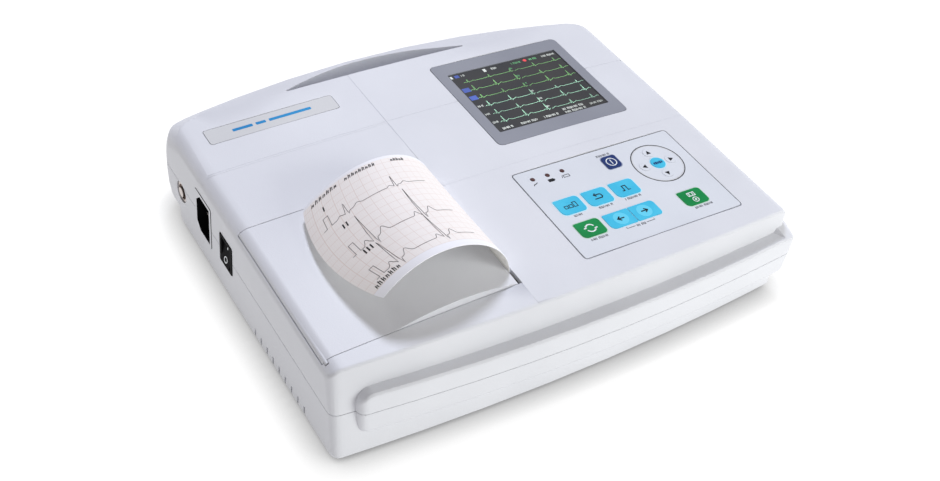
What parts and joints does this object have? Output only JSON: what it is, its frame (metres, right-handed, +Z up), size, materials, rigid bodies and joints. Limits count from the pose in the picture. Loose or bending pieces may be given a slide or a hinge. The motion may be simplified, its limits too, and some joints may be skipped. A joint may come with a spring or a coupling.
{
  "type": "ecg machine",
  "caption": "Portable electrocardiograph recorder with a colour display, a key panel, a thermal printer under a hinged paper door, a rear carrying handle and a front bumper.",
  "frame": {"origin": "middle of the footprint, on the surface the feet rest on", "axes": "+X to the operator's right, +Y to the rear (handle side), +Z up"},
  "size_m": [0.2915, 0.2447, 0.0928],
  "materials": {
    "white_plastic": "moulded ABS, bluish white, fine satin texture",
    "grey_bezel": "satin grey printed bezel",
    "black_plastic": "black moulded",
    "pale_panel": "printed film, light grey",
    "blue_key": "light blue",
    "green_key": "green",
    "navy_key": "dark blue",
    "led_lens": "tinted lens",
    "screen": "dark display glass",
    "circuit_board": "green solder mask",
    "steel": "plain steel",
    "nickel": "nickel plate",
    "rubber": "black rubber",
    "paper": "thermal paper with a printed grid",
    "nylon": "natural nylon"
  },
  "bodies": {
    "case": {"upper_case": "white_plastic", "lower_case": "white_plastic", "foot_front_left": "rubber", "foot_front_right": "rubber", "foot_rear_left": "rubber", "foot_rear_right": "rubber", "case_screw_1": "steel", "case_screw_2": "steel", "case_screw_3": "steel", "case_screw_4": "steel", "battery_cover": "white_plastic", "battery_cover_screw": "steel", "battery_pack": "blue_key", "display_bezel": "grey_bezel", "display_window": "screen", "lcd_module": "steel", "keypad_overlay": "pale_panel", "keypad_board": "circuit_board", "mains_led": "led_lens", "battery_led": "led_lens", "charge_led": "led_lens", "nameplate": "pale_panel", "mains_inlet": "black_plastic", "inlet_pin_line": "nickel", "inlet_pin_neutral": "nickel", "inlet_pin_earth": "nickel", "switch_frame": "black_plastic", "equipotential_ring": "nickel", "equipotential_stud": "nickel", "patient_port": "steel", "paper_tray": "white_plastic", "thermal_head": "nylon", "paper_motor": "steel", "idler_pin": "steel", "main_board": "circuit_board", "power_board": "circuit_board", "speaker": "black_plastic"},
    "door": {"paper_door": "white_plastic", "paper_strip": "paper"},
    "platen": {"platen_roller": "rubber", "platen_shaft": "steel", "platen_gear": "nylon"},
    "idler": {"idler_gear": "nylon"},
    "pinion": {"motor_pinion": "nylon"},
    "roll": {"paper_roll": "paper", "roll_spindle": "nylon"},
    "rocker": {"power_rocker": "black_plastic"},
    "power_key_body": {"power_key": "navy_key"},
    "sensitivity_key_body": {"sensitivity_key": "blue_key"},
    "recall_key_body": {"recall_key": "blue_key"},
    "copy_key_body": {"copy_key": "blue_key"},
    "mode_key_body": {"mode_key": "green_key"},
    "lead_back_key_body": {"lead_back_key": "blue_key"},
    "lead_forward_key_body": {"lead_forward_key": "blue_key"},
    "print_key_body": {"print_key": "green_key"},
    "up_key_body": {"up_key": "pale_panel"},
    "right_key_body": {"right_key": "pale_panel"},
    "down_key_body": {"down_key": "pale_panel"},
    "left_key_body": {"left_key": "pale_panel"},
    "menu_key_body": {"menu_key": "blue_key"}
  },
  "joints": [
    {"name": "door_hinge", "type": "hinge", "parent": "case", "child": "door", "pos_m": [-0.1409, -0.0465, 0.0559], "axis": [0, -1, 0], "range_deg": [0, 90]},
    {"name": "platen_spin", "type": "hinge", "parent": "door", "child": "platen", "pos_m": [-0.0373, -0.045, 0.0519], "axis": [0, -1, 0], "continuous": true},
    {"name": "idler_spin", "type": "hinge", "parent": "case", "child": "idler", "pos_m": [-0.0373, -0.0902, 0.0398], "axis": [0, -1, 0], "continuous": true},
    {"name": "pinion_spin", "type": "hinge", "parent": "case", "child": "pinion", "pos_m": [-0.0373, -0.0902, 0.0307], "axis": [0, -1, 0], "continuous": true},
    {"name": "roll_spin", "type": "hinge", "parent": "case", "child": "roll", "pos_m": [-0.082, -0.0444, 0.03], "axis": [0, -1, 0], "continuous": true},
    {"name": "power_rock", "type": "hinge", "parent": "case", "child": "rocker", "pos_m": [-0.1428, 0.0137, 0.0317], "axis": [0, -1, 0], "range_deg": [0, 19.5]},
    {"name": "power_key_press", "type": "slide", "parent": "case", "child": "power_key_body", "axis": [-0.0221, 0.0122, -0.9997], "range_m": [0, 0.0005], "stiffness_N_per_m": 2000, "springref_m": -0.0003},
    {"name": "sensitivity_key_press", "type": "slide", "parent": "case", "child": "sensitivity_key_body", "axis": [-0.0221, 0.0122, -0.9997], "range_m": [0, 0.0005], "stiffness_N_per_m": 2000, "springref_m": -0.0003},
    {"name": "recall_key_press", "type": "slide", "parent": "case", "child": "recall_key_body", "axis": [-0.0221, 0.0122, -0.9997], "range_m": [0, 0.0005], "stiffness_N_per_m": 2000, "springref_m": -0.0003},
    {"name": "copy_key_press", "type": "slide", "parent": "case", "child": "copy_key_body", "axis": [-0.0221, 0.0122, -0.9997], "range_m": [0, 0.0005], "stiffness_N_per_m": 2000, "springref_m": -0.0003},
    {"name": "mode_key_press", "type": "slide", "parent": "case", "child": "mode_key_body", "axis": [-0.0221, 0.0122, -0.9997], "range_m": [0, 0.0005], "stiffness_N_per_m": 2000, "springref_m": -0.0003},
    {"name": "lead_back_key_press", "type": "slide", "parent": "case", "child": "lead_back_key_body", "axis": [-0.0221, 0.0122, -0.9997], "range_m": [0, 0.0005], "stiffness_N_per_m": 2000, "springref_m": -0.0003},
    {"name": "lead_forward_key_press", "type": "slide", "parent": "case", "child": "lead_forward_key_body", "axis": [-0.0221, 0.0122, -0.9997], "range_m": [0, 0.0005], "stiffness_N_per_m": 2000, "springref_m": -0.0003},
    {"name": "print_key_press", "type": "slide", "parent": "case", "child": "print_key_body", "axis": [-0.0221, 0.0122, -0.9997], "range_m": [0, 0.0005], "stiffness_N_per_m": 2000, "springref_m": -0.0003},
    {"name": "up_key_press", "type": "slide", "parent": "case", "child": "up_key_body", "axis": [-0.0221, 0.0122, -0.9997], "range_m": [0, 0.0005], "stiffness_N_per_m": 2000, "springref_m": -0.0003},
    {"name": "right_key_press", "type": "slide", "parent": "case", "child": "right_key_body", "axis": [-0.0221, 0.0122, -0.9997], "range_m": [0, 0.0005], "stiffness_N_per_m": 2000, "springref_m": -0.0003},
    {"name": "down_key_press", "type": "slide", "parent": "case", "child": "down_key_body", "axis": [-0.0221, 0.0122, -0.9997], "range_m": [0, 0.0005], "stiffness_N_per_m": 2000, "springref_m": -0.0003},
    {"name": "left_key_press", "type": "slide", "parent": "case", "child": "left_key_body", "axis": [-0.0221, 0.0122, -0.9997], "range_m": [0, 0.0005], "stiffness_N_per_m": 2000, "springref_m": -0.0003},
    {"name": "menu_key_press", "type": "slide", "parent": "case", "child": "menu_key_body", "axis": [-0.0221, 0.0122, -0.9997], "range_m": [0, 0.0005], "stiffness_N_per_m": 2000, "springref_m": -0.0003}
  ],
  "couplings": [
    {"joint": "idler_spin", "follows": "platen_spin", "ratio": -1},
    {"joint": "pinion_spin", "follows": "platen_spin", "ratio": 2},
    {"joint": "roll_spin", "follows": "platen_spin", "ratio": -0.21905}
  ]
}
